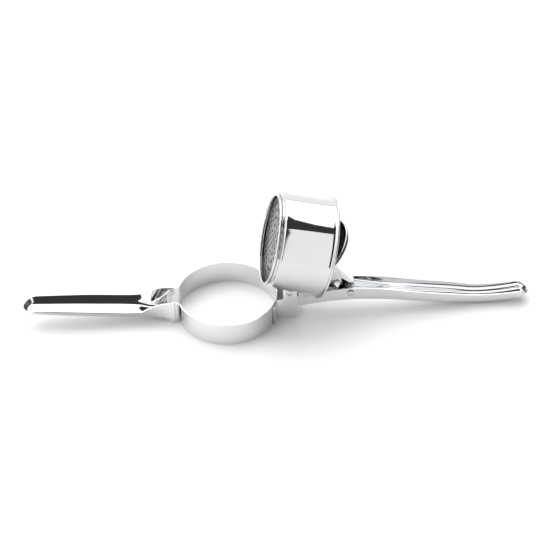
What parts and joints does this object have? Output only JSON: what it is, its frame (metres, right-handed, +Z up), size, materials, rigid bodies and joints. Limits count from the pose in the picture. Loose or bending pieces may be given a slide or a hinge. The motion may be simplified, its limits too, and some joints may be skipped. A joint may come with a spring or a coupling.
{
  "type": "lever press with perforated basket",
  "caption": "Two-handled sheet-steel lever press: a hinged lever drives a swivelling round plate into a loose basket with a perforated bottom.",
  "frame": {"origin": "on the table, under the middle of the opened press's box", "axes": "+X towards the upper lever's tip, +Y away from the front, +Z up"},
  "size_m": [0.4294, 0.087, 0.1139],
  "materials": {
    "polished_steel": "mirror polished",
    "pin_steel": "satin"
  },
  "bodies": {
    "frame": {"ring_band": "polished_steel", "lower_handle": "polished_steel", "hinge_ear_front": "polished_steel", "hinge_ear_back": "polished_steel", "hinge_pin": "pin_steel", "hinge_washer_front": "pin_steel", "hinge_washer_back": "pin_steel"},
    "lever": {"upper_lever": "polished_steel", "pusher_pin": "pin_steel", "pusher_spacer_front": "pin_steel", "pusher_spacer_back": "pin_steel"},
    "pusher": {"pusher_bracket": "polished_steel", "pusher_plate": "polished_steel", "plate_rivet_front": "pin_steel", "plate_rivet_back": "pin_steel"},
    "basket": {"basket_wall": "polished_steel", "basket_bottom": "polished_steel", "basket_bead": "polished_steel"}
  },
  "joints": [
    {"name": "lever_hinge", "type": "hinge", "parent": "frame", "child": "lever", "pos_m": [0.00905, 0, 0.0276], "axis": [0, -1, 0], "range_deg": [0, 180]},
    {"name": "pusher_swivel", "type": "hinge", "parent": "lever", "child": "pusher", "pos_m": [0.06075, 0, 0.0214], "axis": [0, -1, 0], "range_deg": [-36, 0]},
    {"name": "basket_lift", "type": "slide", "parent": "frame", "child": "basket", "axis": [-0.9736, 0, 0.2284], "range_m": [0, 0.31416]}
  ],
  "couplings": [
    {"joint": "pusher_swivel", "follows": "lever_hinge", "ratio": -0.2},
    {"joint": "basket_lift", "follows": "lever_hinge", "m_per_rad": 0.1}
  ]
}
